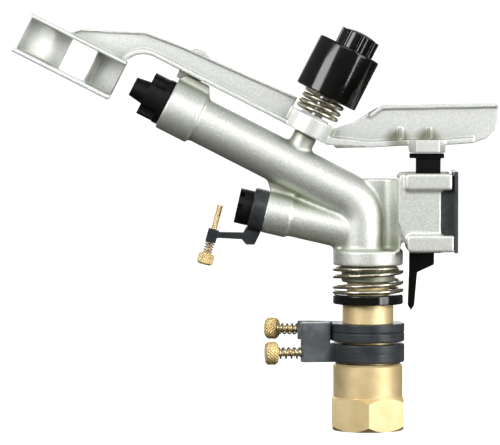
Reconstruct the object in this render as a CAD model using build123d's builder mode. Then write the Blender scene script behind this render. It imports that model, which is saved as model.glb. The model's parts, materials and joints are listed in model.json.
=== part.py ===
from build123d import *
from math import cos, radians, sin, tan
import os

# Part-circle impact rain gun. Millimetres, +Z up, origin in the mouth of the inlet socket on the
# swivel axis. The jets leave towards -X, and the reversing mechanism stands on the +X side.

# ---------------------------------------------------------------- driving dimensions
JET_RISE = 27.0              # main barrel above the horizontal, degrees
SIDE_RISE = 13.0             # side barrel above the horizontal, degrees
RUNNING = 0.05               # radial clearance of a shaft in its bearing
CLEAR = 0.3                  # gap between pieces that move past each other

HEX_FLATS = 50.0             # spanner size of a G 1-1/4 socket
HEX_TOP = 23.5
THREAD_R = 19.48             # minor radius of the G 1-1/4 female thread
THREAD_DEPTH = 20.0
SOCKET_R = 24.55
SOCKET_TOP = 47.2

SLEEVE_R = 18.1
SLEEVE_FOOT = 31.0
SLEEVE_TOP = 89.6
SPINDLE_R = 15.0
WATERWAY_R = 11.5
SPINDLE_FOOT = 24.0
SPINDLE_FLANGE = 3.5
SPINDLE_TOP = 126.0

COLLAR_R = 25.9
COLLAR_H = 13.0
LOWER_COLLAR_Z = 48.5
UPPER_COLLAR_Z = 63.1
LUG_TOP = 76.4
LUG_W = 9.0
UPPER_LUG_ANGLE = 163.0      # about +Z, from +X
LOWER_LUG_ANGLE = 188.0
COLLAR_SCREW_R = 2.5

WASHER_R = 24.8
WASHER_TOP = 96.5
BASE_SPRING_R = 23.95        # mean radius of the coil
BASE_SPRING_WIRE = 3.0
BASE_SPRING_TURNS = 3.0

NECK_R = 18.95
NECK_FOOT = 105.0
HUB_R = 24.8
HUB_FOOT = 117.0
HUB_TOP = 127.6
LEG_X = -4.6                 # the elbow's upright leg stands beside the swivel axis
BEND_R = 22.0
BARREL_R = 16.0
MUZZLE_R = 18.7
MUZZLE_LENGTH = 24.0
MUZZLE_U = 97.6              # muzzle face, along the jet from the arm's axis
JET_DROP = 0.85              # the jet's axis below the point the arm is measured from
ELBOW_FOOT = 120.0           # the elbow's tube starts inside the hub

SIDE_FACE = (-73.1, 154.9)   # X and Z of the centre of the side barrel's front face
SIDE_BARREL_R = 13.25
SIDE_BOSS_R = 14.8
SIDE_BOSS_LENGTH = 18.0
SIDE_BORE_R = 8.5

PIVOT_X, PIVOT_Z = -55.2, 188.0    # point on the arm's axis that the arm is measured from
POST_R = 8.5
POST_TOP = 24.2
SHAFT_R = 5.0
ARM_BASE = 24.5              # lower edge of the arm above the jet's axis
ARM_HUB_R = 17.35
ARM_HUB_TOP = 37.5
ARM_WEB = 4.6                # thickness of the arm's web
ARM_RIM = 14.0               # width of its lower rim
RIM_T = 3.2
TOP_RIM_T = 1.3
TOP_RIM_HALF = 4.0
CAP_R = 23.35
CAP_FOOT, CAP_TOP = 54.6, 92.5
KNOB_R = 14.3
KNOB_TOP = 104.0
NUT_RECESS = 4.5
NUT_POCKET_R = 8.6

SPOON_U = (135.8, 212.0)
SPOON_W = (-17.2, 12.7)
SPOON_HALF = 17.0            # half its width across the jet
STRIKER_U = 92.0
STRIKER_R = 8.5
STRIKER_H = 16.8
STRIKER_T = 9.5
STRIKER_TOP_W = 44.3
BLOCK_X = (28.8, 54.0)       # strike block under the paddle
BLOCK_Z = (197.0, 206.0)
BLOCK_Y = (-19.0, 7.5)
BLOCK_FACE_X = (33.3, 49.5)
BLOCK_CHEEK_Y = -11.0
RIB_X = (22.6, 43.1)
RIB_HALF = 1.2

BRACKET_X = (20.8, 50.8)
BRACKET_Z = (126.6, 182.4)
BRACKET_HALF = 21.0          # outer faces of its side plates
BRACKET_INNER = 17.0
BAND_HALF = 23.0
TOP_BAND = ((25.8, 58.5), (170.9, 182.6))      # X and Z of the bracket's bands
LOW_BAND = ((27.2, 60.0), (127.2, 139.0))
BAND_CORNER_R = 2.5
WEB_T = 5.5
WEB_TOP_Z = 178.5
TRIP_Z = 152.0               # the trip lever's pivot
TRIP_LEAN = 8.0              # lean of the lever's upper bar towards -Y at rest
TRIP_PIN_R = 2.5
PIN_FROM_X = 13.0

# ---------------------------------------------------------------- planes and helpers
jet = Vector(-cos(radians(JET_RISE)), 0, sin(radians(JET_RISE)))
post = Vector(sin(radians(JET_RISE)), 0, cos(radians(JET_RISE)))
side_jet = Vector(-cos(radians(SIDE_RISE)), 0, sin(radians(SIDE_RISE)))
pivot = Vector(PIVOT_X, 0, PIVOT_Z)
barrel_point = pivot - post * JET_DROP
side_front = Vector(SIDE_FACE[0], 0, SIDE_FACE[1])

trip_pin_plane = Plane(origin=(0, 0, TRIP_Z), x_dir=(0, 1, 0), z_dir=(1, 0, 0))
# In this plane x runs along the jet, y along the arm's axis and z towards +Y.
arm_side = Plane(origin=pivot, x_dir=jet, z_dir=(0, 1, 0))


def across_jet(u):
    """Plane square to the main barrel, u along it from the arm's axis."""
    return Plane(origin=barrel_point + jet * u, x_dir=(0, 1, 0), z_dir=jet)


def across_post(w):
    """Plane square to the arm's axis, w above the pivot point; x along the jet, y towards -Y."""
    return Plane(origin=pivot + post * w, x_dir=jet, z_dir=post)


def across_side(s):
    """Plane square to the side jet, s in front of the side barrel's face."""
    return Plane(origin=side_front + side_jet * s, x_dir=(0, 1, 0), z_dir=side_jet)


def level(z):
    return Plane.XY.offset(z)


def disc(plane, radius, height, hole=0.0, mode=Mode.ADD):
    """Add (or cut) a round boss on a plane, with an optional hole."""
    with BuildSketch(plane) as outline:
        Circle(radius)
        if hole:
            Circle(hole, mode=Mode.SUBTRACT)
    extrude(outline.sketch, amount=height, mode=mode)


def coil(plane, mean_r, wire, start, end, turns):
    """Add a coil spring whose wire centres run from start to end along the plane's normal."""
    foot = plane.offset(start)
    with BuildLine() as wire_line:
        wire_path = Helix(pitch=(end - start) / turns, height=end - start, radius=mean_r,
                          center=foot.origin, direction=foot.z_dir)
    with BuildSketch(Plane(origin=wire_path @ 0, z_dir=wire_path % 0)) as wire_section:
        Circle(wire / 2)
    sweep(wire_section.sketch, path=wire_line.wires()[0], is_frenet=True)


def plate(plane, points, half):
    """Add a flat plate with this outline, half its thickness each side of the plane."""
    with BuildSketch(plane) as outline:
        with BuildLine():
            Polyline(*points, close=True)
        make_face()
    extrude(outline.sketch, amount=half, both=True)


def save(piece, name):
    piece.part.label = name
    export_step(piece.part, f"parts/{name}.step")


# ---------------------------------------------------------------- swivel, fixed to the riser
HEX_CORNER_R = HEX_FLATS / 2 / cos(radians(30))
HEX_DROP = (HEX_CORNER_R - HEX_FLATS / 2) * tan(radians(42))    # turned corners

with BuildPart() as inlet_socket:
    with BuildSketch(level(0)):
        RegularPolygon(HEX_FLATS / 2, 6, major_radius=False, rotation=30)
    extrude(amount=HEX_TOP)
    with BuildSketch(Plane.XZ):
        with BuildLine():
            Polyline((0, 0), (HEX_FLATS / 2, 0), (HEX_CORNER_R, HEX_DROP),
                     (HEX_CORNER_R, HEX_TOP - HEX_DROP), (HEX_FLATS / 2, HEX_TOP),
                     (0, HEX_TOP), close=True)
        make_face()
    revolve(axis=Axis.Z, mode=Mode.INTERSECT)
    disc(level(HEX_TOP), SOCKET_R, SOCKET_TOP - HEX_TOP)
    chamfer(inlet_socket.faces().sort_by(Axis.Z)[-1].edges(), 1.5)
    disc(level(0), THREAD_R, THREAD_DEPTH, mode=Mode.SUBTRACT)
    disc(level(THREAD_DEPTH), SLEEVE_R + 0.5, SLEEVE_FOOT - THREAD_DEPTH, mode=Mode.SUBTRACT)
    disc(level(SLEEVE_FOOT), SLEEVE_R, SOCKET_TOP - SLEEVE_FOOT, mode=Mode.SUBTRACT)
save(inlet_socket, "inlet_socket")

with BuildPart() as bearing_sleeve:
    disc(level(SLEEVE_FOOT), SLEEVE_R, SLEEVE_TOP - SLEEVE_FOOT, SPINDLE_R + RUNNING)
save(bearing_sleeve, "bearing_sleeve")

WASHER_PITCH = 1.08
with BuildPart() as thrust_washers:
    for k in range(3):
        disc(level(SPINDLE_FOOT + SPINDLE_FLANGE + 0.1 + k * WASHER_PITCH), SLEEVE_R - 0.1, 1.0,
             SPINDLE_R + 0.15)
save(thrust_washers, "thrust_washers")

with BuildPart() as base_washer:
    disc(level(SLEEVE_TOP), WASHER_R, WASHER_TOP - SLEEVE_TOP, SPINDLE_R + CLEAR)
    fillet(base_washer.faces().sort_by(Axis.Z)[-1].edges().sort_by(SortBy.RADIUS)[-1], 1.2)
    fillet(base_washer.faces().sort_by(Axis.Z)[0].edges().sort_by(SortBy.RADIUS)[-1], 0.8)
save(base_washer, "base_washer")

with BuildPart() as base_spring:
    coil(level(0), BASE_SPRING_R, BASE_SPRING_WIRE, WASHER_TOP + BASE_SPRING_WIRE / 2,
         HUB_FOOT - BASE_SPRING_WIRE / 2 - 0.2, BASE_SPRING_TURNS)
save(base_spring, "base_spring")

# ---------------------------------------------------------------- stop collars
LUG_INNER = 27.6             # the lower collar's lug stands outside the upper collar
UPPER_LUG_R = 51.5
LOWER_LUG_R = 48.0
LOWER_SCREW_Z = 55.0
UPPER_SCREW_Z = 70.3
SCREW_HEAD_T = 8.4
UPPER_HEAD = (66.8, 7.7)     # where the head starts, from the swivel axis, and its radius
LOWER_HEAD = (64.9, 8.3)
GROOVE = 0.7


def lug_plane(angle, z):
    """Level plane whose x axis points out along a collar's lug."""
    out = (cos(radians(angle)), sin(radians(angle)), 0)
    return Plane(origin=(0, 0, z), x_dir=out, z_dir=(0, 0, 1))


def screw_plane(angle, z, out):
    """Plane square to a collar screw, this far out from the swivel axis."""
    direction = Vector(cos(radians(angle)), sin(radians(angle)), 0)
    return Plane(origin=direction * out + Vector(0, 0, z), x_dir=(0, 0, 1), z_dir=direction)


def lug_block(angle, z, top, inner, outer):
    """Add a lug with rounded outer corners."""
    with BuildSketch(lug_plane(angle, z)) as outline:
        with Locations(((inner + outer) / 2, 0)):
            Rectangle(outer - inner, LUG_W)
        fillet(outline.vertices().sort_by(Axis.X)[-2:], 2.5)
    extrude(outline.sketch, amount=top - z)


def collar(z):
    """Add a collar's ring with the parting groove round its middle."""
    disc(level(z), COLLAR_R, COLLAR_H)
    chamfer(edges(Select.LAST).filter_by(GeomType.CIRCLE), 0.6)
    disc(level(z + COLLAR_H / 2 - GROOVE / 2), COLLAR_R + 1, GROOVE, COLLAR_R - GROOVE, Mode.SUBTRACT)


with BuildPart() as upper_collar:
    collar(UPPER_COLLAR_Z)
    lug_block(UPPER_LUG_ANGLE, UPPER_COLLAR_Z, LUG_TOP, SLEEVE_R + 3, UPPER_LUG_R)
    disc(level(UPPER_COLLAR_Z), SLEEVE_R + RUNNING, LUG_TOP - UPPER_COLLAR_Z, mode=Mode.SUBTRACT)
    disc(screw_plane(UPPER_LUG_ANGLE, UPPER_SCREW_Z, 0), COLLAR_SCREW_R + RUNNING, UPPER_LUG_R + 1,
         mode=Mode.SUBTRACT)
save(upper_collar, "upper_collar")

with BuildPart() as lower_collar:
    collar(LOWER_COLLAR_Z)
    lug_block(LOWER_LUG_ANGLE, LOWER_COLLAR_Z, LOWER_COLLAR_Z + COLLAR_H, SLEEVE_R + 3, LOWER_LUG_R)
    lug_block(LOWER_LUG_ANGLE, LOWER_COLLAR_Z, LUG_TOP, LUG_INNER, LOWER_LUG_R)
    disc(level(LOWER_COLLAR_Z), SLEEVE_R + RUNNING, COLLAR_H, mode=Mode.SUBTRACT)
    disc(screw_plane(LOWER_LUG_ANGLE, LOWER_SCREW_Z, 0), COLLAR_SCREW_R + RUNNING, LOWER_LUG_R + 1,
         mode=Mode.SUBTRACT)
save(lower_collar, "lower_collar")


def thumb_screw(angle, z, head):
    """Add a collar screw: its shank and its round head."""
    head_from, head_r = head
    disc(screw_plane(angle, z, SLEEVE_R + CLEAR), COLLAR_SCREW_R, head_from - SLEEVE_R - CLEAR)
    disc(screw_plane(angle, z, head_from), head_r, SCREW_HEAD_T)
    chamfer(edges(Select.LAST).filter_by(GeomType.CIRCLE).sort_by(SortBy.RADIUS)[-2:], 0.9)


SCREW_SPRING_R = 3.7
SCREW_SPRING_WIRE = 1.5
SCREW_SPRING_TURNS = 4.0

with BuildPart() as upper_collar_screw:
    thumb_screw(UPPER_LUG_ANGLE, UPPER_SCREW_Z, UPPER_HEAD)
save(upper_collar_screw, "upper_collar_screw")

with BuildPart() as lower_collar_screw:
    thumb_screw(LOWER_LUG_ANGLE, LOWER_SCREW_Z, LOWER_HEAD)
save(lower_collar_screw, "lower_collar_screw")


def screw_spring(angle, z, lug_r, head_r):
    """Add the spring between a lug and its screw's head."""
    coil(screw_plane(angle, z, 0), SCREW_SPRING_R, SCREW_SPRING_WIRE, lug_r + SCREW_SPRING_WIRE / 2 + 0.05,
         head_r - SCREW_SPRING_WIRE / 2 - 0.05, SCREW_SPRING_TURNS)


with BuildPart() as upper_collar_spring:
    screw_spring(UPPER_LUG_ANGLE, UPPER_SCREW_Z, UPPER_LUG_R, UPPER_HEAD[0])
save(upper_collar_spring, "upper_collar_spring")

with BuildPart() as lower_collar_spring:
    screw_spring(LOWER_LUG_ANGLE, LOWER_SCREW_Z, LOWER_LUG_R, LOWER_HEAD[0])
save(lower_collar_spring, "lower_collar_spring")

# ---------------------------------------------------------------- head casting and its spindle
with BuildPart() as hollow_spindle:
    disc(level(SPINDLE_FOOT), SPINDLE_R, SPINDLE_TOP - SPINDLE_FOOT)
    disc(level(SPINDLE_FOOT), SLEEVE_R - 0.2, SPINDLE_FLANGE)
    disc(level(SPINDLE_FOOT), WATERWAY_R, SPINDLE_TOP - SPINDLE_FOOT, mode=Mode.SUBTRACT)
save(hollow_spindle, "hollow_spindle")

CHAMBER_U = 90.0             # the muzzle bore opens here for the nozzle
MUZZLE_BORE_R = 13.4
SIDE_CHAMBER = -9.0
SIDE_CAP_BORE_R = 10.9
SIDE_BARREL_LENGTH = 69.6
BARREL_WEB_HALF = 2.6
ANVIL_U = (76.3, 97.6)
ANVIL_Y = (-2.6, 3.0)
ANVIL_TOP = 23.7
ANVIL_FOOT = 14.4

barrel_web = [(-73.5, 184), (-69.6, 171.2), (-67.4, 170.1), (-66, 163), (-14, 145), (-14, 160)]
web_outline = [(-3.8, 175.9), (-3.2, WEB_TOP_Z), (13.0, WEB_TOP_Z), (13.0, BRACKET_Z[0]), (8.9, BRACKET_Z[0]),
               (8.9, 148.7), (6.8, 160.8), (0.6, 171.5)]
flare = [(12.0, WEB_T), (15.2, 6.9), (18.0, 9.9), (19.9, 13.6), (21.1, 17.4),
         (BRACKET_X[0] + 1.5, BRACKET_HALF - 1)]
plate_outline = [(BRACKET_X[0], 179.4), (BRACKET_X[0] + 1, 181.5), (BRACKET_X[0] + 3, BRACKET_Z[1]),
                 (BRACKET_X[1], BRACKET_Z[1]), (BRACKET_X[1], BRACKET_Z[0]), (28.4, BRACKET_Z[0]),
                 (27.4, 130.0), (BRACKET_X[0], 147.0)]
bend_z = PIVOT_Z - JET_DROP / cos(radians(JET_RISE)) - (LEG_X - PIVOT_X) * tan(radians(JET_RISE))
bend = Vector(LEG_X, 0, bend_z)
muzzle = barrel_point + jet * MUZZLE_U

with BuildPart() as gun_body:
    # elbow and main barrel: one round tube along a bent line
    with BuildLine() as tube_line:
        FilletPolyline((LEG_X, 0, ELBOW_FOOT), bend, muzzle, radius=BEND_R)
    with BuildSketch(level(ELBOW_FOOT)):
        with Locations((LEG_X, 0)):
            Circle(BARREL_R)
    sweep(path=tube_line.wires()[0])
    disc(across_jet(MUZZLE_U - MUZZLE_LENGTH), MUZZLE_R, MUZZLE_LENGTH)
    # side barrel
    disc(across_side(-SIDE_BARREL_LENGTH), SIDE_BARREL_R, SIDE_BARREL_LENGTH)
    disc(across_side(-SIDE_BOSS_LENGTH), SIDE_BOSS_R, SIDE_BOSS_LENGTH)
    plate(Plane.XZ, barrel_web, BARREL_WEB_HALF)
    # hub and neck round the spindle
    disc(level(NECK_FOOT), NECK_R, HUB_FOOT - NECK_FOOT)
    disc(level(HUB_FOOT), HUB_R, HUB_TOP - HUB_FOOT)
    # arm's pivot post
    disc(across_post(BARREL_R - 4), POST_R, POST_TOP - BARREL_R + 4)
    # waterways and bores
    with BuildLine() as water_line:
        FilletPolyline((LEG_X, 0, SPINDLE_TOP - 1), bend, muzzle + jet, radius=BEND_R)
    with BuildSketch(level(SPINDLE_TOP - 1)):
        with Locations((LEG_X, 0)):
            Circle(WATERWAY_R)
    sweep(path=water_line.wires()[0], mode=Mode.SUBTRACT)
    disc(across_side(2 - SIDE_BARREL_LENGTH), SIDE_BORE_R, SIDE_BARREL_LENGTH - 1, mode=Mode.SUBTRACT)
    disc(across_jet(CHAMBER_U), MUZZLE_BORE_R, MUZZLE_U - CHAMBER_U + 1, mode=Mode.SUBTRACT)
    disc(across_side(SIDE_CHAMBER), SIDE_CAP_BORE_R, -SIDE_CHAMBER + 1, mode=Mode.SUBTRACT)
    disc(level(NECK_FOOT), SPINDLE_R, SPINDLE_TOP - NECK_FOOT, mode=Mode.SUBTRACT)
    disc(across_post(BARREL_R - 1), SHAFT_R, POST_TOP, mode=Mode.SUBTRACT)
    # anvil that stops the arm
    with BuildSketch(arm_side.offset(ANVIL_Y[0])):
        with BuildLine():
            Polyline((ANVIL_U[0] - 5, ANVIL_FOOT), (ANVIL_U[0], ANVIL_TOP), (ANVIL_U[1] - 4, ANVIL_TOP),
                     (ANVIL_U[1], ANVIL_TOP - 4), (ANVIL_U[1], ANVIL_FOOT), close=True)
        make_face()
    extrude(amount=ANVIL_Y[1] - ANVIL_Y[0])
    # trip bracket: web, flared back wall, two side plates, two bands on each
    plate(Plane.XZ, web_outline, WEB_T)
    with BuildSketch(level(BRACKET_Z[0])):
        with BuildLine():
            Polyline(*[(x, -y) for x, y in flare], *reversed(flare), close=True)
        make_face()
    extrude(amount=WEB_TOP_Z - BRACKET_Z[0])
    for side in (-1, 1):
        middle = side * (BRACKET_HALF + BRACKET_INNER) / 2
        plate(Plane.XZ.offset(-middle), plate_outline, (BRACKET_HALF - BRACKET_INNER) / 2)
        band_middle = side * (BAND_HALF + BRACKET_INNER) / 2
        for corners in (TOP_BAND, LOW_BAND):
            with BuildSketch(Plane.XZ.offset(-band_middle)) as band:
                with Locations((sum(corners[0]) / 2, sum(corners[1]) / 2)):
                    Rectangle(corners[0][1] - corners[0][0], corners[1][1] - corners[1][0])
                fillet(band.vertices().group_by(Axis.X)[0], BAND_CORNER_R)
            extrude(band.sketch, amount=(BAND_HALF - BRACKET_INNER) / 2, both=True)
    disc(trip_pin_plane.offset(PIN_FROM_X - 1), TRIP_PIN_R, 12, mode=Mode.SUBTRACT)
save(gun_body, "gun_body")

# ---------------------------------------------------------------- inside the main barrel, and its nozzle
STRAIGHTENER_U = 25.0
STRAIGHTENER_LENGTH = 40.0
VANE_T = 1.2

with BuildPart() as jet_straightener:
    disc(across_jet(STRAIGHTENER_U), WATERWAY_R - 0.05, STRAIGHTENER_LENGTH, WATERWAY_R - VANE_T)
    with BuildSketch(across_jet(STRAIGHTENER_U)):
        for turn in (0, 60, 120):
            Rectangle(2 * WATERWAY_R - VANE_T, VANE_T, rotation=turn)
    extrude(amount=STRAIGHTENER_LENGTH)
save(jet_straightener, "jet_straightener")

CAP_FLANGE_R = 16.5
CAP_WING_R = 15.95
CAP_FLANGE_T = 4.3
CAP_WING_LENGTH = 12.0
NOZZLE_R = 10.9
NOZZLE_NECK_R = 8.5
NOZZLE_TIP_R = 6.95
NOZZLE_TIP_U = 124.4
NOZZLE_ORIFICE_R = 5.0
GASKET_T = 1.5
cap_front = MUZZLE_U + CAP_FLANGE_T + CAP_WING_LENGTH

with BuildPart() as main_gasket:
    disc(across_jet(CHAMBER_U), MUZZLE_BORE_R - 0.1, GASKET_T, WATERWAY_R - 1.5)
save(main_gasket, "main_gasket")

with BuildPart() as main_nozzle_cap:
    disc(across_jet(CHAMBER_U + GASKET_T), MUZZLE_BORE_R, MUZZLE_U - CHAMBER_U - GASKET_T)
    disc(across_jet(MUZZLE_U), CAP_FLANGE_R, CAP_FLANGE_T)
    with BuildSketch(across_jet(MUZZLE_U + CAP_FLANGE_T)):
        Circle(CAP_WING_R)
        with PolarLocations(CAP_WING_R + 1.2, 4, start_angle=45):
            Circle(5.2, mode=Mode.SUBTRACT)
    extrude(amount=CAP_WING_LENGTH)
    disc(across_jet(CHAMBER_U + GASKET_T), NOZZLE_R, cap_front - 2 - CHAMBER_U - GASKET_T,
         mode=Mode.SUBTRACT)
    disc(across_jet(cap_front - 3), NOZZLE_NECK_R, 4, mode=Mode.SUBTRACT)
save(main_nozzle_cap, "main_nozzle_cap")

with BuildPart() as main_nozzle:
    disc(across_jet(CHAMBER_U + GASKET_T), NOZZLE_R, cap_front - 2 - CHAMBER_U - GASKET_T)
    disc(across_jet(cap_front - 2), NOZZLE_NECK_R, 2)
    with BuildSketch(across_jet(cap_front)):
        Circle(NOZZLE_NECK_R)
    with BuildSketch(across_jet(NOZZLE_TIP_U)):
        Circle(NOZZLE_TIP_R)
    loft()
    with BuildSketch(across_jet(CHAMBER_U + GASKET_T)):
        Circle(NOZZLE_R - 1.2)
    with BuildSketch(across_jet(NOZZLE_TIP_U - 7)):
        Circle(NOZZLE_ORIFICE_R)
    loft(mode=Mode.SUBTRACT)
    disc(across_jet(NOZZLE_TIP_U - 7.1), NOZZLE_ORIFICE_R, 8, mode=Mode.SUBTRACT)
save(main_nozzle, "main_nozzle")

# ---------------------------------------------------------------- side nozzle and diffuser
DIFFUSER_RING_R = 15.25
DIFFUSER_RING_T = 10.0
SIDE_CAP_R = 12.5
SIDE_CAP_T = 10.0
SIDE_NOZZLE_R = 8.4
SIDE_ORIFICE_R = 3.0
side_cap_front = DIFFUSER_RING_T + SIDE_CAP_T

with BuildPart() as side_gasket:
    disc(across_side(SIDE_CHAMBER), SIDE_CAP_BORE_R - 0.1, GASKET_T, SIDE_BORE_R - 1.5)
save(side_gasket, "side_gasket")

with BuildPart() as side_nozzle_cap:
    disc(across_side(SIDE_CHAMBER + GASKET_T), SIDE_CAP_BORE_R, DIFFUSER_RING_T - SIDE_CHAMBER - GASKET_T)
    disc(across_side(DIFFUSER_RING_T), SIDE_CAP_R, SIDE_CAP_T)
    disc(across_side(SIDE_CHAMBER + GASKET_T), SIDE_NOZZLE_R, side_cap_front, mode=Mode.SUBTRACT)
    disc(across_side(SIDE_CHAMBER + GASKET_T), SIDE_NOZZLE_R - 2, 40, mode=Mode.SUBTRACT)
    with BuildSketch(across_side(side_cap_front - 3.5)):
        for turn in (0, 45, 90, 135):
            Rectangle(2 * SIDE_CAP_R + 2, 4.2, rotation=turn)
        Circle(SIDE_NOZZLE_R - 1, mode=Mode.SUBTRACT)
    extrude(amount=4, mode=Mode.SUBTRACT)
save(side_nozzle_cap, "side_nozzle_cap")

with BuildPart() as side_nozzle:
    disc(across_side(SIDE_CHAMBER + GASKET_T), SIDE_NOZZLE_R, side_cap_front - 1)
    disc(across_side(SIDE_CHAMBER + GASKET_T), SIDE_NOZZLE_R - 2, side_cap_front - SIDE_CHAMBER - GASKET_T)
    with BuildSketch(across_side(SIDE_CHAMBER + GASKET_T)):
        Circle(SIDE_NOZZLE_R - 1.2)
    with BuildSketch(across_side(side_cap_front - 5)):
        Circle(SIDE_ORIFICE_R)
    loft(mode=Mode.SUBTRACT)
    disc(across_side(side_cap_front - 5.1), SIDE_ORIFICE_R, 6, mode=Mode.SUBTRACT)
save(side_nozzle, "side_nozzle")

PIN_RISE = 15.5              # the diffuser screw leans this far from upright
PIN_BLOCK = (-110.6, 137.9)  # X and Z of the middle of its block
PIN_R = 2.0
PIN_TIP = 22.3
PIN_HEAD_TOP = -13.1
PIN_HEAD_R = 5.7
PIN_HEAD_T = 8.2
BLOCK_HALF_H = 4.75
DIFFUSER_TAIL_HALF = 4.0
diffuser_tail = [(-86.5, 144), (-88.5, 140.2), (-108, 140.6), (-108, 136.4), (-89.5, 135.4),
                 (-86.5, 131.6), (-80.5, 131.6), (-76.2, 140.5), (-77, 144)]
pin_dir = Vector(sin(radians(PIN_RISE)), 0, cos(radians(PIN_RISE)))


def across_pin(t):
    """Plane square to the diffuser screw, t above the middle of its block."""
    middle = Vector(PIN_BLOCK[0], 0, PIN_BLOCK[1])
    return Plane(origin=middle + pin_dir * t, x_dir=(0, 1, 0), z_dir=pin_dir)


with BuildPart() as diffuser_bracket:
    disc(across_side(0), DIFFUSER_RING_R, DIFFUSER_RING_T)
    chamfer(edges(Select.LAST).filter_by(GeomType.CIRCLE).sort_by(SortBy.RADIUS)[-2:], 0.7)
    plate(Plane.XZ, diffuser_tail, DIFFUSER_TAIL_HALF)
    with BuildSketch(across_pin(-BLOCK_HALF_H)):
        Rectangle(9.0, 7.4)
    extrude(amount=2 * BLOCK_HALF_H)
    disc(across_side(-0.5), SIDE_CAP_BORE_R + RUNNING, DIFFUSER_RING_T + 1, mode=Mode.SUBTRACT)
    disc(across_pin(-BLOCK_HALF_H - 1), PIN_R + RUNNING, 2 * BLOCK_HALF_H + 2, mode=Mode.SUBTRACT)
save(diffuser_bracket, "diffuser_bracket")

with BuildPart() as diffuser_screw:
    disc(across_pin(PIN_HEAD_TOP), PIN_R, PIN_TIP - PIN_HEAD_TOP)
    disc(across_pin(PIN_HEAD_TOP - PIN_HEAD_T), PIN_HEAD_R, PIN_HEAD_T)
    chamfer(edges(Select.LAST).filter_by(GeomType.CIRCLE).sort_by(SortBy.RADIUS)[-2:], 0.8)
save(diffuser_screw, "diffuser_screw")

DIFFUSER_WIRE = 0.9
with BuildPart() as diffuser_spring:
    coil(across_pin(0), 3.0, DIFFUSER_WIRE, PIN_HEAD_TOP + DIFFUSER_WIRE / 2 + 0.05,
         -BLOCK_HALF_H - DIFFUSER_WIRE / 2 - 0.05, 4.0)
save(diffuser_spring, "diffuser_spring")

# ---------------------------------------------------------------- arm pivot, spring, cap and knob
BUSH_R = 8.0
BUSH_FLANGE_R = 10.5
SHAFT_TOP = 100.5
NUT_T = 3.5
ARM_COLLAR_TOP = 39.0
ARM_SPRING_R = 14.3
ARM_SPRING_WIRE = 3.2
ARM_SPRING_TOP = 84.0
SEAT_T = 3.0
CAP_WALL = 3.0

with BuildPart() as pivot_shaft:
    disc(across_post(BARREL_R - 1), SHAFT_R, SHAFT_TOP - BARREL_R + 1)
save(pivot_shaft, "pivot_shaft")

with BuildPart() as arm_bushes:
    disc(across_post(ARM_BASE), BUSH_R, 6, SHAFT_R + RUNNING)
    disc(across_post(ARM_HUB_TOP - 6), BUSH_R, 6, SHAFT_R + RUNNING)
    disc(across_post(ARM_HUB_TOP), BUSH_FLANGE_R, 1.5, SHAFT_R + RUNNING)
save(arm_bushes, "arm_bushes")

with BuildPart() as arm_spring:
    coil(across_post(0), ARM_SPRING_R, ARM_SPRING_WIRE, ARM_COLLAR_TOP + ARM_SPRING_WIRE / 2 + 0.1,
         ARM_SPRING_TOP, 9.0)
save(arm_spring, "arm_spring")

with BuildPart() as spring_seat:
    disc(across_post(ARM_SPRING_TOP + ARM_SPRING_WIRE / 2 + CLEAR), CAP_R - CAP_WALL - 0.1, SEAT_T, SHAFT_R)
save(spring_seat, "spring_seat")

with BuildPart() as spring_cap:
    disc(across_post(CAP_FOOT), CAP_R, CAP_TOP - CAP_FOOT)
    chamfer(edges(Select.LAST).filter_by(GeomType.CIRCLE), 1.4)
    disc(across_post(CAP_FOOT), CAP_R - CAP_WALL, CAP_TOP - CAP_FOOT - 3.5, mode=Mode.SUBTRACT)
    disc(across_post(CAP_FOOT), SHAFT_R + RUNNING, 50, mode=Mode.SUBTRACT)
save(spring_cap, "spring_cap")

KNOB_OFFSET = -3.0           # the knob stands off the shaft, along the jet
KNOB_FLUTES = 9
KNOB_FLUTE_R = 2.2
KNOB_DOME_R = 36.0
KNOB_DOME_TOP = KNOB_TOP + 3.0
with BuildPart() as cap_knob:
    with BuildSketch(across_post(CAP_TOP)) as knob_outline:
        with Locations((KNOB_OFFSET, 0)):
            Circle(KNOB_R)
            with PolarLocations(KNOB_R + 0.5, KNOB_FLUTES, start_angle=95):
                Circle(KNOB_FLUTE_R, mode=Mode.SUBTRACT)
    extrude(amount=KNOB_DOME_TOP - CAP_TOP)
    with Locations(pivot + post * (KNOB_DOME_TOP - KNOB_DOME_R) + jet * KNOB_OFFSET):
        Sphere(KNOB_DOME_R, mode=Mode.INTERSECT)
    disc(across_post(CAP_TOP - 1), SHAFT_R + RUNNING, 20, mode=Mode.SUBTRACT)
    disc(across_post(KNOB_TOP - NUT_RECESS), NUT_POCKET_R, 10, mode=Mode.SUBTRACT)
save(cap_knob, "cap_knob")

with BuildPart() as shaft_nut:
    with BuildSketch(across_post(KNOB_TOP - NUT_RECESS)):
        RegularPolygon(8.0, 6)
        Circle(2.5, mode=Mode.SUBTRACT)
    extrude(amount=NUT_T)
    disc(across_post(KNOB_TOP - NUT_RECESS), SHAFT_R, SHAFT_TOP - KNOB_TOP + NUT_RECESS, mode=Mode.SUBTRACT)
save(shaft_nut, "shaft_nut")

# ---------------------------------------------------------------- drive arm casting
SPOON_PLATE = (3.2, 2.6)     # thickness of its lower and upper plates
VANE_R = 34.0
VANE_PLATE = 3.0
ARCH_MID = (130.0, 21.6)     # middle of the arch behind the spoon, on its lower and upper edges
ARCH_TOP_MID = (132.4, 24.4)
PADDLE_HALF = 2.4
PADDLE_RIM_HALF = 9.0

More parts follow.
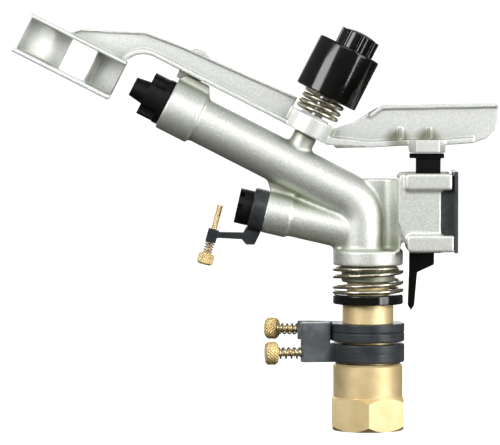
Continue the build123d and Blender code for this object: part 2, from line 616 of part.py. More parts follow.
paddle = [(-23, 199.8), (-30, 212), (-11.3, 217.7), (1.4, 225.8), (9.1, 230.2), (66, 231.4),
          (90.8, 231.6), (92, 229.3), (92, 220.5), (89.6, 213.4), (83.7, 207), (74.9, 203.8),
          (54.9, 202.3), (21.4, 201.7), (1.4, 200.5)]
paddle_foot = [(-30, 202.6), (1.4, 200.5), (21.4, 201.7), (54.9, 202.3), (74.9, 203.8), (74, 207.6),
               (54.9, 206.2), (21.4, 205.7), (1.4, 204.6), (-30, 208)]
paddle_top = [(0, 223.2), (9.1, 230.2), (90.8, 231.6), (91, 229), (9.9, 227.6), (1.5, 221.5)]
rib_outline = [(0, 205), (-8.5, 205), (-8.5, 207), (-2, 215.5), (0, 215.5)]
web_top = [(14, 45), (46, 43.3), (107.5, 40.2), (133.4, 37.2), (175, 18.5), (181, SPOON_W[1])]
wedge = [(SPOON_U[0], -SPOON_HALF), (157.4, -SPOON_HALF), (158, -2), (156.8, -2), (154.2, -13.8),
         (SPOON_U[0], -13.8)]
web_low = [(SPOON_U[0] + 1, SPOON_W[1]), (120, ARM_BASE), (14, ARM_BASE)]


def vane_point(radius, turn):
    """Point of the curved vane's section, turned from its far edge round to its tip."""
    return (SPOON_U[1] - VANE_R + radius * sin(radians(turn)),
            VANE_R - SPOON_HALF - radius * cos(radians(turn)))


with BuildPart() as drive_arm:
    disc(across_post(ARM_BASE), ARM_HUB_R, ARM_HUB_TOP - ARM_BASE)
    # front web with its rims
    with BuildSketch(arm_side):
        with BuildLine():
            Polyline(web_low[2], *web_top, web_low[0])
            ThreePointArc(web_low[0], ARCH_MID, web_low[1])
            Line(web_low[1], web_low[2])
        make_face()
    extrude(amount=ARM_WEB / 2, both=True)
    with BuildSketch(arm_side):
        with BuildLine():
            Polyline(*web_top, *[(u, w - TOP_RIM_T) for u, w in reversed(web_top)], close=True)
        make_face()
    extrude(amount=TOP_RIM_HALF, both=True)
    with BuildSketch(arm_side):
        with BuildLine():
            low = Line((14, ARM_BASE), web_low[1])
            arch = ThreePointArc(low @ 1, ARCH_MID, web_low[0])
            Line(arch @ 1, (web_low[0][0] + RIM_T, web_low[0][1]))
            upper = ThreePointArc((web_low[0][0] + RIM_T, web_low[0][1]), ARCH_TOP_MID,
                                  (120.5, ARM_BASE + RIM_T))
            Polyline(upper @ 1, (14, ARM_BASE + RIM_T), low @ 0)
        make_face()
    extrude(amount=ARM_RIM / 2, both=True)
    # spoon: two plates, the curved vane and the wedge vane
    for w_from, thick in ((SPOON_W[0], SPOON_PLATE[0]), (SPOON_W[1] - SPOON_PLATE[1], SPOON_PLATE[1])):
        with BuildSketch(across_post(w_from)):
            with Locations((sum(SPOON_U) / 2, 0)):
                Rectangle(SPOON_U[1] - SPOON_U[0], 2 * SPOON_HALF)
        extrude(amount=thick)
    with BuildSketch(across_post(SPOON_W[0])):
        with BuildLine():
            outer = ThreePointArc(vane_point(VANE_R, 0), vane_point(VANE_R, 45), vane_point(VANE_R, 90))
            tip = Line(outer @ 1, vane_point(VANE_R - VANE_PLATE, 90))
            inner = ThreePointArc(tip @ 1, vane_point(VANE_R - VANE_PLATE, 45),
                                  vane_point(VANE_R - VANE_PLATE, 0))
            Line(inner @ 1, outer @ 0)
        make_face()
        with BuildLine():
            Polyline(*wedge, close=True)
        make_face()
    extrude(amount=SPOON_W[1] - SPOON_W[0])
    # striker that meets the anvil, on the far side
    with BuildSketch(arm_side.offset(ANVIL_Y[1] + CLEAR)):
        with Locations((STRIKER_U, STRIKER_TOP_W - STRIKER_R - STRIKER_H / 2)):
            Rectangle(2 * STRIKER_R, STRIKER_H)
        with Locations((STRIKER_U, STRIKER_TOP_W - STRIKER_R)):
            Circle(STRIKER_R)
    extrude(amount=STRIKER_T)
    # paddle behind the hub
    plate(Plane.XZ, paddle, PADDLE_HALF)
    plate(Plane.XZ, paddle_foot, PADDLE_RIM_HALF)
    plate(Plane.XZ, paddle_top, PADDLE_RIM_HALF / 2)
    # strike block over the trip lever, with a rib at each side of the pocket above it
    with BuildSketch(level(BLOCK_Z[0])):
        with BuildLine():
            Polyline((BLOCK_X[0], BLOCK_Y[1]), (BLOCK_X[0], BLOCK_CHEEK_Y), (BLOCK_FACE_X[0], BLOCK_Y[0]),
                     (BLOCK_FACE_X[1], BLOCK_Y[0]), (BLOCK_X[1], BLOCK_CHEEK_Y), (BLOCK_X[1], BLOCK_Y[1]),
                     close=True)
        make_face()
    extrude(amount=BLOCK_Z[1] - BLOCK_Z[0])
    for rib_x in RIB_X:
        with BuildSketch(Plane.YZ.offset(rib_x)):
            with BuildLine():
                Polyline(*rib_outline, close=True)
            make_face()
        extrude(amount=RIB_HALF, both=True)
    disc(across_post(ARM_BASE - 1), BUSH_R, ARM_HUB_TOP - ARM_BASE + 1, mode=Mode.SUBTRACT)
    disc(across_post(ARM_HUB_TOP), ARM_HUB_R, 20, mode=Mode.SUBTRACT)
save(drive_arm, "drive_arm")

# ---------------------------------------------------------------- reversing mechanism
CARRIER_X = (60.1, 62.7)     # the strip that closes the bracket
CARRIER_Z = (126.6, 184.0)
CHEEK_X = (27.4, 61.4)       # its two cheeks inside the bracket's plates
CHEEK_Z = (129.0, 181.0)
CHEEK_T = 2.5
BAR_X = (33.5, 51.0)
BAR_T = 5.0
HEAD_X = (28.9, 53.5)
HEAD_TOP_Z = 196.4           # top of the T-head when the lever stands upright
HEAD_H = 2.6
HEAD_HALF = 3.2
LEVER_BOSS_R = 6.2
LEVER_BOSS_X = (31.0, 50.0)
SCREW_R = 2.1
SCREW_SINK = 1.6
SCREW_INSET = 0.4
screw_spots = [(y, z) for y in (-19.5, 19.5) for z in (-19.8, 24.6)]
blade = [(31, 0), (31, -26), (29.3, -26), (29.3, -40.5), (28.6, -64.4), (30.8, -68.3),
         (33.2, -64.4), (35.1, -40.6), (47, -35), (47, 0)]

with BuildPart() as trip_carrier:
    with BuildSketch(level(CARRIER_Z[0])):
        with Locations((sum(CARRIER_X) / 2, 0)):
            Rectangle(CARRIER_X[1] - CARRIER_X[0], 2 * BAND_HALF)
    extrude(amount=CARRIER_Z[1] - CARRIER_Z[0])
    for side in (-1, 1):
        with BuildSketch(Plane.XZ.offset(side * (BRACKET_INNER - 0.1 - CHEEK_T / 2))):
            with Locations((sum(CHEEK_X) / 2, sum(CHEEK_Z) / 2)):
                Rectangle(CHEEK_X[1] - CHEEK_X[0], CHEEK_Z[1] - CHEEK_Z[0])
        extrude(amount=CHEEK_T / 2, both=True)
    disc(trip_pin_plane.offset(CARRIER_X[0] - 1), TRIP_PIN_R, 2.4, mode=Mode.SUBTRACT)
    with BuildSketch(trip_pin_plane.offset(CARRIER_X[1] - SCREW_SINK)):
        with Locations(*screw_spots):
            Circle(SCREW_R + CLEAR)
    extrude(amount=SCREW_SINK + 1, mode=Mode.SUBTRACT)
save(trip_carrier, "trip_carrier")

with BuildPart() as trip_pin:
    disc(trip_pin_plane.offset(PIN_FROM_X), TRIP_PIN_R, CARRIER_X[0] + 0.3 - PIN_FROM_X)
save(trip_pin, "trip_pin")

lever_plane = Plane(origin=(0, 0, TRIP_Z), x_dir=(1, 0, 0),
                    z_dir=(0, -cos(radians(TRIP_LEAN)), -sin(radians(TRIP_LEAN))))
head_height = HEAD_TOP_Z - TRIP_Z

with BuildPart() as trip_lever:
    with BuildSketch(lever_plane):
        with Locations((sum(BAR_X) / 2, head_height / 2)):
            Rectangle(BAR_X[1] - BAR_X[0], head_height)
    extrude(amount=BAR_T / 2, both=True)
    with BuildSketch(lever_plane):
        with Locations((sum(HEAD_X) / 2, head_height - HEAD_H / 2)):
            Rectangle(HEAD_X[1] - HEAD_X[0], HEAD_H)
    extrude(amount=HEAD_HALF, both=True)
    plate(lever_plane, blade, BAR_T / 2)
    disc(trip_pin_plane.offset(LEVER_BOSS_X[0]), LEVER_BOSS_R, LEVER_BOSS_X[1] - LEVER_BOSS_X[0])
    disc(trip_pin_plane.offset(LEVER_BOSS_X[0] - 1), TRIP_PIN_R + RUNNING, BAR_X[1] - LEVER_BOSS_X[0] + 4,
         mode=Mode.SUBTRACT)
save(trip_lever, "trip_lever")

OVERCENTRE_X = 54.3
OVERCENTRE_R = 2.0
OVERCENTRE_WIRE = 0.9
OVERCENTRE_RISE = (4.0, 20.0)    # its ends above the lever's pivot
OVERCENTRE_TURNS = 9.0

with BuildPart() as overcentre_spring:
    coil(Plane(origin=(OVERCENTRE_X, 0, TRIP_Z), x_dir=(1, 0, 0), z_dir=(0, 0, 1)), OVERCENTRE_R,
         OVERCENTRE_WIRE, *OVERCENTRE_RISE, OVERCENTRE_TURNS)
save(overcentre_spring, "overcentre_spring")

with BuildPart() as carrier_screws:
    with BuildSketch(trip_pin_plane.offset(CARRIER_X[1] - SCREW_SINK)):
        with Locations(*screw_spots):
            Circle(SCREW_R)
    extrude(amount=SCREW_SINK - SCREW_INSET)
save(carrier_screws, "carrier_screws")
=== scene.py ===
import json
from math import cos, pi, radians, sin, tau

import bmesh
import bpy
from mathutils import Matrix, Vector


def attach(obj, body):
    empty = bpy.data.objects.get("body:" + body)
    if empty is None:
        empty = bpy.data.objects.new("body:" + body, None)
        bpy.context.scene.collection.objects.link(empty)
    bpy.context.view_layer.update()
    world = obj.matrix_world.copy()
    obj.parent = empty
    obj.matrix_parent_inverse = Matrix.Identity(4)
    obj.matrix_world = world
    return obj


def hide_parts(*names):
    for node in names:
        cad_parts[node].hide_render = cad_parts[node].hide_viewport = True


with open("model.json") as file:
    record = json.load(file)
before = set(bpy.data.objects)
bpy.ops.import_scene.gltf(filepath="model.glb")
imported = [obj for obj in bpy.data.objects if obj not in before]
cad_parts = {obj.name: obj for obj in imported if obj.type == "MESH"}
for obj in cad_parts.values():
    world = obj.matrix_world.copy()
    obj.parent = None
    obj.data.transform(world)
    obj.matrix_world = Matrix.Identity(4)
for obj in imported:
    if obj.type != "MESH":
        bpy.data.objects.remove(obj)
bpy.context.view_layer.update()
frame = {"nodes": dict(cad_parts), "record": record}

# Looks of a part-circle impact rain gun. Metres, +Z up, the jets leave towards -X.
MM = 0.001
Z_AXIS = Vector((0, 0, 1))

# ---------------------------------------------------------------- the design's own axes
JET_RISE = radians(27)
PIN_RISE = radians(15.5)
post = Vector((sin(JET_RISE), 0, cos(JET_RISE)))
pin = Vector((sin(PIN_RISE), 0, cos(PIN_RISE)))
pivot = Vector((-55.2, 0, 188)) * MM
pin_block = Vector((-110.6, 0, 137.9)) * MM
UPPER_LUG = radians(163)
LOWER_LUG = radians(188)


# ---------------------------------------------------------------- camera, light and floor
def look_at(obj, target):
    obj.rotation_euler = (Vector(target) - obj.location).to_track_quat("-Z", "Y").to_euler()


def add_camera():
    """Long lens, square to the gun's side and a little above its middle."""
    distance, width, rise = 2.6, 0.3545, radians(3.0)
    target = Vector((-0.0837, 0, 0.1471))
    camera = bpy.data.objects.new("camera", bpy.data.cameras.new("camera"))
    camera.data.sensor_width = 36
    camera.data.lens = 36 * distance / width
    camera.location = target + Vector((0, -cos(rise), sin(rise))) * distance
    bpy.context.scene.collection.objects.link(camera)
    look_at(camera, target)
    bpy.context.scene.camera = camera


def add_light(name, place, size, power, target=(-0.06, 0, 0.15)):
    light = bpy.data.objects.new(name, bpy.data.lights.new(name, "AREA"))
    light.data.shape = "RECTANGLE"
    light.data.size, light.data.size_y = size
    light.data.energy = power
    light.location = place
    light.visible_camera = False
    bpy.context.scene.collection.objects.link(light)
    look_at(light, target)
    return light


def add_world():
    """Dim room, darker and greener below, so that round metal shades towards its underside."""
    world = bpy.data.worlds.new("studio")
    bpy.context.scene.world = world
    world.use_nodes = True
    tree = world.node_tree
    tree.nodes.clear()
    out = tree.nodes.new("ShaderNodeOutputWorld")
    background = tree.nodes.new("ShaderNodeBackground")
    ramp = tree.nodes.new("ShaderNodeValToRGB")
    split = tree.nodes.new("ShaderNodeSeparateXYZ")
    coords = tree.nodes.new("ShaderNodeTexCoord")
    half = tree.nodes.new("ShaderNodeMath")
    half.operation = "MULTIPLY_ADD"
    half.inputs[1].default_value = half.inputs[2].default_value = 0.5
    tree.links.new(coords.outputs["Generated"], split.inputs[0])
    tree.links.new(split.outputs["Z"], half.inputs[0])
    tree.links.new(half.outputs[0], ramp.inputs[0])
    ramp.color_ramp.elements[0].position = 0.30
    ramp.color_ramp.elements[0].color = (0.03, 0.034, 0.022, 1)
    ramp.color_ramp.elements[1].position = 0.80
    ramp.color_ramp.elements[1].color = (0.30, 0.31, 0.30, 1)
    middle = ramp.color_ramp.elements.new(0.5)
    middle.color = (0.16, 0.165, 0.155, 1)
    tree.links.new(ramp.outputs[0], background.inputs[0])
    background.inputs[1].default_value = 1.0
    tree.links.new(background.outputs[0], out.inputs[0])


def add_floor():
    """Pale round floor that curves up into a wall all round, lit evenly, with the camera inside it."""
    mesh = bpy.data.meshes.new("floor")
    work = bmesh.new()
    inner_r, flat_r, curve_r, wall_top = 2.4, 8.0, 1.0, 9.0
    drop = 0.0005            # just under the socket's face
    steps, curve_steps = 64, 12
    profile = [(inner_r, 0.0)]
    for k in range(curve_steps + 1):
        turn = k / curve_steps * pi / 2
        profile.append((flat_r + curve_r * sin(turn), curve_r - curve_r * cos(turn)))
    profile.append((flat_r + curve_r, wall_top))
    rings = [[work.verts.new((r * cos(tau * k / steps), r * sin(tau * k / steps), z - drop))
              for k in range(steps)] for r, z in profile]
    work.faces.new(rings[0])
    for low, high in zip(rings, rings[1:]):
        for k in range(steps):
            work.faces.new((low[k], low[k - 1], high[k - 1], high[k]))
    work.to_mesh(mesh)
    work.free()
    mesh.shade_smooth()
    floor = bpy.data.objects.new("floor", mesh)
    bpy.context.scene.collection.objects.link(floor)
    floor.visible_diffuse = floor.visible_glossy = floor.visible_shadow = False
    material = bpy.data.materials.new("floor")
    material.use_nodes = True
    shader = material.node_tree.nodes["Principled BSDF"]
    shader.inputs["Base Color"].default_value = (0.30, 0.30, 0.30, 1)
    shader.inputs["Roughness"].default_value = 0.9
    shader.inputs["Specular IOR Level"].default_value = 0.0
    shader.inputs["Emission Color"].default_value = (1, 1, 0.995, 1)
    shader.inputs["Emission Strength"].default_value = 1.0
    mesh.materials.append(material)


# ---------------------------------------------------------------- materials
class Nodes:
    """Short names for the nodes of one material."""

    def __init__(self, name):
        self.material = bpy.data.materials.new(name)
        self.material.use_nodes = True
        self.tree = self.material.node_tree
        self.shader = self.tree.nodes["Principled BSDF"]
        self.coords = self.tree.nodes.new("ShaderNodeTexCoord")

    def link(self, source, target):
        self.tree.links.new(source, target)

    def place(self, scale=(1, 1, 1)):
        """Object coordinates, stretched."""
        node = self.tree.nodes.new("ShaderNodeMapping")
        node.inputs["Scale"].default_value = scale
        self.link(self.coords.outputs["Object"], node.inputs["Vector"])
        return node.outputs[0]

    def noise(self, where, scale, detail=3.0, rough=0.5):
        node = self.tree.nodes.new("ShaderNodeTexNoise")
        node.inputs["Scale"].default_value = scale
        node.inputs["Detail"].default_value = detail
        node.inputs["Roughness"].default_value = rough
        self.link(where, node.inputs["Vector"])
        return node.outputs[0]

    def spread(self, value, low, high, into, start=0.35, end=0.65):
        """Map a texture's middle range onto low..high."""
        node = self.tree.nodes.new("ShaderNodeMapRange")
        for socket, number in (("From Min", start), ("From Max", end), ("To Min", low), ("To Max", high)):
            node.inputs[socket].default_value = number
        self.link(value, node.inputs["Value"])
        self.link(node.outputs[0], into)

    def tint(self, value, colours, into, start=0.35, end=0.65):
        """Blend between colours by a texture's value."""
        node = self.tree.nodes.new("ShaderNodeValToRGB")
        ramp = node.color_ramp
        ramp.elements[0].position, ramp.elements[1].position = start, end
        ramp.elements[0].color = (*colours[0], 1)
        ramp.elements[1].color = (*colours[-1], 1)
        for k, colour in enumerate(colours[1:-1], 1):
            ramp.elements.new(start + (end - start) * k / (len(colours) - 1)).color = (*colour, 1)
        self.link(value, node.inputs[0])
        self.link(node.outputs[0], into)
        return ramp

    def bump(self, *heights):
        """Stack bumps, each (value, strength, depth in mm)."""
        normal = None
        for value, strength, depth in heights:
            node = self.tree.nodes.new("ShaderNodeBump")
            node.inputs["Strength"].default_value = strength
            node.inputs["Distance"].default_value = depth * MM
            self.link(value, node.inputs["Height"])
            if normal is not None:
                self.link(normal, node.inputs["Normal"])
            normal = node.outputs[0]
        self.link(normal, self.shader.inputs["Normal"])

    def set(self, **values):
        for name, value in values.items():
            self.shader.inputs[name.replace("_", " ")].default_value = value
        return self.material


HOLLOW_SIZE = 14             # how far a surface looks for its neighbours to count as a hollow, mm
HOLLOW_RANGE = (0.45, 0.93)  # openness from fully painted shade to fully pale
# painted shadow colour for the pockets beside the arm's ribs
POCKET_SHADOW = (0.32, 0.32, 0.25)


def aluminium(name, hollow_shade, pale, grain_scale, rough, grain_depth, pockets=()):
    """Blasted casting: pale, nearly matt, with grain, painted shade in hollows and a painted shadow round
    pockets (point, reach).
    """
    m = Nodes(name)
    at = m.place()
    grain = m.noise(at, grain_scale, 4, 0.6)
    # painted shade: ambient occlusion darkens hollows and inside corners towards the shade colour
    hollow = m.tree.nodes.new("ShaderNodeAmbientOcclusion")
    hollow.inputs["Distance"].default_value = HOLLOW_SIZE * MM
    hollow.samples = 8
    depth = m.tree.nodes.new("ShaderNodeMapRange")
    depth.inputs["From Min"].default_value, depth.inputs["From Max"].default_value = HOLLOW_RANGE
    m.link(hollow.outputs["AO"], depth.inputs["Value"])
    mix = m.tree.nodes.new("ShaderNodeMix")
    mix.data_type = "RGBA"
    m.link(depth.outputs[0], mix.inputs["Factor"])
    mix.inputs["A"].default_value = (*hollow_shade, 1)
    m.tint(m.noise(at, grain_scale * 0.7, 2), [tuple(c * 0.84 for c in pale), pale], mix.inputs["B"])
    base = mix.outputs["Result"]
    # painted shadow: darken the colour round each pocket point
    for point, reach in pockets:
        away = m.tree.nodes.new("ShaderNodeVectorMath")
        away.operation = "DISTANCE"
        away.inputs[1].default_value = tuple(c * MM for c in point)
        m.link(at, away.inputs[0])
        shadow_mix = m.tree.nodes.new("ShaderNodeMix")
        shadow_mix.data_type = "RGBA"
        m.spread(away.outputs["Value"], 1, 0, shadow_mix.inputs["Factor"], reach * 0.45 * MM, reach * MM)
        m.link(base, shadow_mix.inputs["A"])
        shadow_mix.inputs["B"].default_value = (*POCKET_SHADOW, 1)
        base = shadow_mix.outputs["Result"]
    m.link(base, m.shader.inputs["Base Color"])
    m.spread(grain, rough[0], rough[1], m.shader.inputs["Roughness"])
    m.bump((m.noise(at, 220, 3), 0.35, 0.12), (grain, 0.8, grain_depth))
    return m.set(Metallic=0.85)


def brass(name, colours, along, rough):
    """Turned brass: fine lines round the axis, with slightly uneven colour."""
    m = Nodes(name)
    lines = m.noise(m.place(along), 1, 4, 0.7)
    m.tint(m.noise(m.place(), 90, 3), colours, m.shader.inputs["Base Color"])
    m.spread(lines, rough[0], rough[1], m.shader.inputs["Roughness"])
    m.bump((lines, 0.5, 0.05), (m.noise(m.place(), 900, 2), 0.15, 0.03))
    return m.set(Metallic=0.7)


def moulded(name, colour, rough, grain, shine=0.5):
    """Moulded plastic with a fine spark-eroded grain."""
    m = Nodes(name)
    at = m.place()
    fine = m.noise(at, 2600, 3, 0.6)
    light = tuple(c * 1.35 + 0.002 for c in colour)
    m.tint(m.noise(at, 70, 3), [colour, light], m.shader.inputs["Base Color"])
    m.spread(m.noise(at, 420, 3), rough[0], rough[1], m.shader.inputs["Roughness"])
    m.bump((m.noise(at, 120, 2), 0.08, 0.10), (fine, grain, 0.03))
    return m.set(Specular_IOR_Level=shine)


def drawn_wire(name, colours, rough):
    """Spring wire with drawing marks and a trace of oxide."""
    m = Nodes(name)
    at = m.place()
    m.tint(m.noise(at, 350, 3), colours, m.shader.inputs["Base Color"])
    m.spread(m.noise(at, 1400, 3), rough[0], rough[1], m.shader.inputs["Roughness"])
    m.bump((m.noise(at, 1800, 2), 0.2, 0.03))
    return m.set(Metallic=1.0)


def collar_moulding():
    """Glass-filled plastic: dark turned rings and diffuser, paler lugs, mid grey carrier, coloured by
    distance from the swivel axis.
    """
    m = Nodes("collar_plastic")
    at = m.place()
    flat = m.tree.nodes.new("ShaderNodeVectorMath")
    flat.operation = "MULTIPLY"
    flat.inputs[1].default_value = (1, 1, 0)
    m.link(at, flat.inputs[0])
    reach = m.tree.nodes.new("ShaderNodeVectorMath")
    reach.operation = "LENGTH"
    m.link(flat.outputs[0], reach.inputs[0])
    ring, lug = (0.005, 0.0065, 0.0075), (0.150, 0.165, 0.180)
    carrier, diffuser = (0.066, 0.073, 0.078), (0.038, 0.043, 0.047)
    scuffed = m.tree.nodes.new("ShaderNodeMix")
    scuffed.data_type, scuffed.blend_type = "RGBA", "MULTIPLY"
    scuffed.inputs["Factor"].default_value = 1.0
    m.tint(m.noise(at, 85, 4, 0.6), [(0.62, 0.62, 0.62), (1.0, 1.0, 1.0)], scuffed.inputs["B"], 0.40, 0.60)
    m.link(scuffed.outputs["Result"], m.shader.inputs["Base Color"])
    ramp = m.tint(reach.outputs["Value"], [ring, diffuser], scuffed.inputs["A"], 0.0262, 0.0760)
    for place, colour in ((0.0285, lug), (0.0530, lug), (0.0560, carrier), (0.0680, carrier)):
        ramp.elements.new(place).color = (*colour, 1)
    m.spread(m.noise(at, 300, 4, 0.6), 0.28, 0.44, m.shader.inputs["Roughness"])
    m.bump((m.noise(at, 140, 3), 0.35, 0.12), (m.noise(at, 2200, 3, 0.6), 0.35, 0.03))
    return m.set(Specular_IOR_Level=0.30)


materials = {
    # first colour: painted shade for hollows
    "cast_aluminium": aluminium("cast_aluminium", (0.34, 0.36, 0.27), (0.87, 0.89, 0.835), 1000,
                                (0.46, 0.60), 0.16),
    # first colour: painted shade for hollows; the two points: painted shadow beside the ribs
    "arm_aluminium": aluminium("arm_aluminium", (0.46, 0.48, 0.43), (0.92, 0.93, 0.91), 1500,
                               (0.48, 0.60), 0.07, [((42, -3, 205.5), 11), ((20, -3, 204.5), 11)]),
    "brass": brass("brass", [(0.88, 0.67, 0.34), (0.97, 0.78, 0.45)], (40, 40, 3200), (0.46, 0.60)),
    "brass_screw": brass("brass_screw", [(0.82, 0.60, 0.27), (0.96, 0.76, 0.40)], (900, 900, 900),
                         (0.34, 0.50)),
    "black_plastic": moulded("black_plastic", (0.004, 0.004, 0.0038), (0.40, 0.55), 0.35, shine=0.16),
    "collar_plastic": collar_moulding(),
    "gloss_black": moulded("gloss_black", (0.0018, 0.0020, 0.0018), (0.11, 0.16), 0.02, shine=0.5),
    "spring_steel": drawn_wire("spring_steel", [(0.40, 0.37, 0.29), (0.66, 0.62, 0.50)], (0.24, 0.40)),
    "steel": drawn_wire("steel", [(0.50, 0.50, 0.49), (0.60, 0.60, 0.59)], (0.28, 0.4)),
    "rubber": moulded("rubber", (0.012, 0.012, 0.012), (0.7, 0.85), 0.4, shine=0.2),
    "ptfe": moulded("ptfe", (0.72, 0.72, 0.69), (0.4, 0.5), 0.1),
}
node_slot = {row["node"]: row["material_slot"] for row in frame["record"]["subparts"]}
node_body = {node: body for body, nodes in frame["record"]["behaviour"]["bodies"].items() for node in nodes}

for node, obj in frame["nodes"].items():
    obj.data.materials.clear()
    obj.data.materials.append(materials[node_slot[node]])


# ---------------------------------------------------------------- pieces that replace CAD nodes
def finish_piece(piece, node):
    """Give a piece the material of its node's slot and its node's body, and hide the node."""
    piece.data.materials.clear()
    piece.data.materials.append(materials[node_slot[node]])
    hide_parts(node)
    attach(piece, node_body[node])


def applied(obj):
    """The object's mesh with its modifiers applied."""
    bpy.context.view_layer.update()
    mesh = bpy.data.meshes.new_from_object(obj.evaluated_get(bpy.context.evaluated_depsgraph_get()))
    obj.modifiers.clear()
    old = obj.data
    obj.data = mesh
    bpy.data.meshes.remove(old)


def push(obj, amount):
    """Move the surface along its normals."""
    modifier = obj.modifiers.new("push", "DISPLACE")
    modifier.strength = amount
    modifier.mid_level = 0
    applied(obj)


def remesh(obj, voxel):
    modifier = obj.modifiers.new("remesh", "REMESH")
    modifier.mode = "VOXEL"
    modifier.voxel_size = voxel
    applied(obj)


def soften(node, voxel, smooth, corner=0.0):
    """Rebuild a node with rounded edges, and with inside corners filled to a radius."""
    piece = bpy.data.objects.new(node + "_soft", frame["nodes"][node].data.copy())
    bpy.context.scene.collection.objects.link(piece)
    remesh(piece, voxel * MM)
    if corner:
        push(piece, corner * MM)
        remesh(piece, voxel * MM)
        push(piece, -corner * MM)
        remesh(piece, voxel * MM)
    modifier = piece.modifiers.new("smooth", "SMOOTH")
    modifier.factor = 0.5
    modifier.iterations = smooth
    applied(piece)
    piece.data.shade_smooth()
    finish_piece(piece, node)
    return piece


def spring(node, foot, axis, mean_r, wire, height, turns, closed, phase=0.0):
    """Coil spring with closed ends, standing on foot along axis; lengths in mm."""
    steps_per_turn = 28
    across = axis.orthogonal().normalized()
    side = axis.cross(across)
    total = turns + 2 * closed
    open_height = height - wire - 2 * closed * wire
    curve = bpy.data.curves.new(node + "_coil", "CURVE")
    curve.dimensions = "3D"
    curve.bevel_depth = wire / 2 * MM
    curve.bevel_resolution = 4
    line = curve.splines.new("POLY")
    count = int(total * steps_per_turn)
    line.points.add(count)
    for k in range(count + 1):
        turn = total * k / count
        level = min(turn, closed) * wire + max(0, turn - total + closed) * wire
        level += open_height * min(max(turn - closed, 0), turns) / turns
        angle = phase + tau * turn
        point = foot + (across * cos(angle) + side * sin(angle)) * mean_r * MM
        point += axis * (level + wire / 2) * MM
        line.points[k].co = (*point, 1)
    curve.use_fill_caps = True
    piece = bpy.data.objects.new(node + "_coil", curve)
    bpy.context.scene.collection.objects.link(piece)
    finish_piece(piece, node)


def add_mesh(name, points, faces):
    mesh = bpy.data.meshes.new(name)
    mesh.from_pydata([tuple(point) for point in points], [], faces)
    mesh.update()
    piece = bpy.data.objects.new(name, mesh)
    bpy.context.scene.collection.objects.link(piece)
    return piece


def rounded(corners, radius, steps=4):
    """Round every corner of a closed profile of (radius, height) points."""
    out = []
    for k, corner in enumerate(corners):
        here = Vector(corner)
        before, after = Vector(corners[k - 1]), Vector(corners[(k + 1) % len(corners)])
        reach = min(radius, (before - here).length * 0.45, (after - here).length * 0.45)
        start = here + (before - here).normalized() * reach
        end = here + (after - here).normalized() * reach
        for step in range(steps + 1):
            t = step / steps
            out.append(start.lerp(here, t).lerp(here.lerp(end, t), t))
    return out


def lathe(name, foot, axis, profile, steps=144):
    """Turn a closed profile of (radius, height) points in mm round an axis."""
    across = axis.orthogonal().normalized()
    side = axis.cross(across)
    points, faces = [], []
    count = len(profile)
    for k in range(steps):
        out = across * cos(tau * k / steps) + side * sin(tau * k / steps)
        points += [foot + (out * r + axis * h) * MM for r, h in profile]
    for k in range(steps):
        for m in range(count):
            here, there = k * count, (k + 1) % steps * count
            faces.append((here + m, there + m, there + (m + 1) % count, here + (m + 1) % count))
    piece = add_mesh(name, points, faces)
    work = bmesh.new()
    work.from_mesh(piece.data)
    bmesh.ops.recalc_face_normals(work, faces=work.faces)
    work.to_mesh(piece.data)
    work.free()
    piece.data.shade_smooth()
    piece.data.set_sharp_from_angle(angle=radians(50))
    return piece


def wrapped(name, foot, axis, heights, radius_at, steps):
    """Solid round an axis whose radius in mm depends on turn and height, closed at both ends."""
    across = axis.orthogonal().normalized()
    side = axis.cross(across)
    points, faces = [], []
    for h in heights:
        for k in range(steps):
            turn = tau * k / steps
            out = across * cos(turn) + side * sin(turn)
            points.append(foot + (out * radius_at(turn, h) + axis * h) * MM)
    for row in range(len(heights) - 1):
        for k in range(steps):
            a, b = row * steps + k, row * steps + (k + 1) % steps
            faces.append((a, b, b + steps, a + steps))
    faces.append(tuple(reversed(range(steps))))
    last = (len(heights) - 1) * steps
    faces.append(tuple(range(last, last + steps)))
    piece = add_mesh(name, points, faces)
    piece.data.shade_smooth()
    piece.data.set_sharp_from_angle(angle=radians(60))
    return piece


def join(pieces, name):
    """Join pieces into the first."""
    for piece in pieces[1:]:
        work = bmesh.new()
        work.from_mesh(pieces[0].data)
        work.from_mesh(piece.data)
        work.to_mesh(pieces[0].data)
        work.free()
        bpy.data.objects.remove(piece)
    pieces[0].name = name
    return pieces[0]


def knurled_screw(node, foot, axis, shank, shank_r, head, head_r):
    """Thumb screw: threaded shank and a round head with a diamond knurl; lengths along the axis in mm."""
    pitch, thread_depth = 1.25, 0.22
    edge, teeth, knurl_depth, slant_per_mm = 1.4, 11, 0.9, 1.3
    shank_rows, head_rows = 260, 26
    shank_heights = [shank[0] + (shank[1] - shank[0]) * k / shank_rows for k in range(shank_rows + 1)]
    head_heights = [head[0] + (head[1] - head[0]) * k / head_rows for k in range(head_rows + 1)]

    def thread(turn, h):
        return shank_r - thread_depth * (0.5 + 0.5 * cos(turn - tau * h / pitch))

    def knurl(turn, h):
        from_end = min(h - head[0], head[1] - h)
        chamfer = max(0.0, edge - from_end)
        slant = (h - head[0]) * slant_per_mm
        crest = (abs(sin(teeth * turn + slant)) + abs(sin(teeth * turn - slant))) / 2
        return head_r - chamfer - knurl_depth * (1 - crest) * (from_end > 0)

    parts = [wrapped(node + "_head", foot, axis, head_heights, knurl, 204),
             wrapped(node + "_shank", foot, axis, shank_heights, thread, 20)]
    finish_piece(join(parts, node + "_knurled"), node)


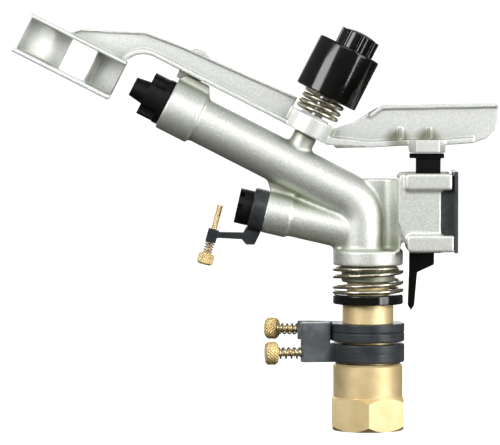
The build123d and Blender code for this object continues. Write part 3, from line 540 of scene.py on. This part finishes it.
def pipe_thread(name, node, bore_r, pitch, first, last):
    """Right-handed female thread as a ridge inside a bore round the swivel axis."""
    per_turn, run_out = 60, 20
    ridge, sunk, half_root, half_crest = 1.1, 0.05, 0.42, 0.12
    count = int((last - first) / pitch * per_turn)
    points, faces = [], []
    for k in range(count + 1):
        turn = tau * k / per_turn
        z = first + pitch * k / per_turn
        root_r = bore_r + sunk
        crest_r = bore_r - ridge * min(1.0, k / run_out, (count - k) / run_out)
        for r, rise in ((root_r, -half_root), (crest_r, -half_crest), (crest_r, half_crest),
                        (root_r, half_root)):
            points.append(Vector((r * cos(turn), r * sin(turn), z + rise * pitch)) * MM)
    for k in range(count):
        for m in range(4):
            a, b = k * 4 + m, k * 4 + (m + 1) % 4
            faces.append((a, a + 4, b + 4, b))
    faces += [(0, 1, 2, 3), tuple(count * 4 + m for m in (3, 2, 1, 0))]
    piece = add_mesh(name, points, faces)
    piece.data.materials.append(materials[node_slot[node]])
    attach(piece, node_body[node])


bpy.context.scene.view_settings.view_transform = "Standard"
add_camera()
add_world()
add_light("key", (-0.85, -0.85, 0.58), (0.60, 0.52), 8.8)
add_light("side", (1.05, -0.75, 0.40), (0.7, 0.9), 13)
add_light("fill", (0.05, -1.50, 1.25), (1.3, 0.7), 8.2)
add_light("back", (-0.25, 1.70, 0.55), (1.6, 1.2), 14)
add_light("strip", (0.42, -0.50, 0.08), (0.03, 0.16), 0.24, (-0.02, 0, 0.25))
add_light("vane", (0.20, -0.25, 0.10), (0.03, 0.08), 0.010, (-0.240, 0, 0.274)).data.spread = radians(17)
add_floor()

soften("gun_body", 0.7, 2, 1.6)
soften("drive_arm", 0.55, 1)
for name in ("upper_collar", "lower_collar", "trip_carrier", "trip_lever", "diffuser_bracket"):
    soften(name, 0.4, 2)

spring("base_spring", Vector((0, 0, 96.5)) * MM, Z_AXIS, 23.95, 3.0, 20.4, 1.6, 0.9, 2.4)
spring("arm_spring", pivot + post * 39.1 * MM, post, 14.4, 3.2, 45, 8.0, 0.9, 1.0)

CAP_R, CAP_INNER_R, CAP_HOLE_R = 23.35, 20.35, 5.05
CAP_FOOT, CAP_CEILING, CAP_TOP = 54.6, 89.0, 92.5
cap_profile = [(CAP_HOLE_R, CAP_TOP), (CAP_R, CAP_TOP), (CAP_R, CAP_FOOT), (CAP_INNER_R, CAP_FOOT),
               (CAP_INNER_R, CAP_CEILING), (CAP_HOLE_R, CAP_CEILING)]
cap = lathe("spring_cap_turned", pivot, post, rounded(cap_profile, 1.6))
finish_piece(cap, "spring_cap")
pipe_thread("inlet_thread", "inlet_socket", 19.48, 2.309, 1.6, 18.6)


SHANK_FROM, SHANK_R, HEAD_T = 18.4, 2.5, 8.4


def stop_screw(which, angle, z, lug, head, head_r, turns):
    """Screw and spring of one stop collar; lug and head are how far out each starts, in mm."""
    out = Vector((cos(angle), sin(angle), 0))
    foot = Vector((0, 0, z * MM))
    knurled_screw(which + "_collar_screw", foot, out, (SHANK_FROM, head + 0.1), SHANK_R,
                  (head, head + HEAD_T), head_r)
    spring(which + "_collar_spring", foot + out * lug * MM, out, 3.6, 1.4, head - lug, turns, 0.5)


stop_screw("upper", UPPER_LUG, 70.3, 51.5, 66.8, 7.7, 3.4)
stop_screw("lower", LOWER_LUG, 55.0, 48.0, 64.9, 8.3, 3.6)
PIN_HEAD = (-21.3, -13.1)
knurled_screw("diffuser_screw", pin_block, pin, (PIN_HEAD[1] - 0.1, 22.3), 2.0, PIN_HEAD, 5.7)
spring("diffuser_spring", pin_block + pin * PIN_HEAD[1] * MM, pin, 3.0, 0.9, 8.3, 3.0, 0.8)
